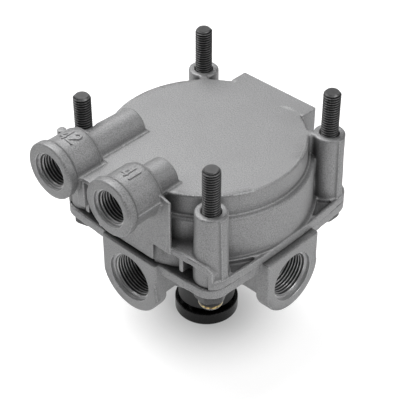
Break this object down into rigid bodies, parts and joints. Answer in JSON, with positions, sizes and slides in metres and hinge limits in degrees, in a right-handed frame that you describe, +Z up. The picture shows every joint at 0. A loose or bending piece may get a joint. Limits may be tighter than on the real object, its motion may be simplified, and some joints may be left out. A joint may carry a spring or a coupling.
{
  "type": "relay valve",
  "caption": "Air brake relay valve: domed cast housing with tubular control ports, large threaded ports, long mounting studs, sliding pistons and a sprung inlet valve.",
  "frame": {"origin": "on the valve axis, at the centre of the four studs, in the plane of the post tops that a bracket is clamped against", "axes": "+Z up along the studs, -Y towards the two control ports, +X towards the right delivery port"},
  "size_m": [0.105, 0.116, 0.1238],
  "materials": {
    "cast_aluminium": "as cast, matte",
    "piston_aluminium": "machined",
    "black_steel": "black phosphate",
    "spring_steel": "plain",
    "yellow_zinc": "yellow passivated",
    "black_plastic": "moulded, satin",
    "seal_rubber": "smooth"
  },
  "bodies": {
    "housing": {"upper_housing": "cast_aluminium", "lower_housing": "cast_aluminium", "cover_bolts": "black_steel", "front_bolt_cap": "yellow_zinc", "housing_seal": "seal_rubber", "piston_snap_ring": "spring_steel", "valve_spring": "spring_steel", "spring_seat": "spring_steel", "valve_guide": "black_plastic", "guide_outer_oring": "seal_rubber", "guide_stem_oring": "seal_rubber", "guide_circlip": "spring_steel", "exhaust_sleeve": "black_plastic", "exhaust_ring": "black_plastic", "exhaust_flap": "seal_rubber"},
    "relay": {"relay_piston": "piston_aluminium", "relay_piston_oring": "seal_rubber"},
    "control": {"control_piston": "piston_aluminium", "control_piston_oring": "seal_rubber"},
    "valve": {"valve_body": "black_plastic", "valve_rubber": "seal_rubber"}
  },
  "joints": [
    {"name": "relay_piston_slide", "type": "slide", "parent": "housing", "child": "relay", "axis": [0, 0, -1], "range_m": [0, 0.005]},
    {"name": "control_piston_slide", "type": "slide", "parent": "housing", "child": "control", "axis": [0, 0, -1], "range_m": [0, 0.005]},
    {"name": "valve_slide", "type": "slide", "parent": "housing", "child": "valve", "axis": [0, 0, -1], "range_m": [0, 0.00275], "stiffness_N_per_m": 1200, "springref_m": -0.004, "deforming": ["valve_spring"]}
  ],
  "couplings": [
    {"joint": "control_piston_slide", "follows": "relay_piston_slide", "ratio": 1},
    {"joint": "valve_slide", "follows": "relay_piston_slide", "ratio": 0.55}
  ]
}
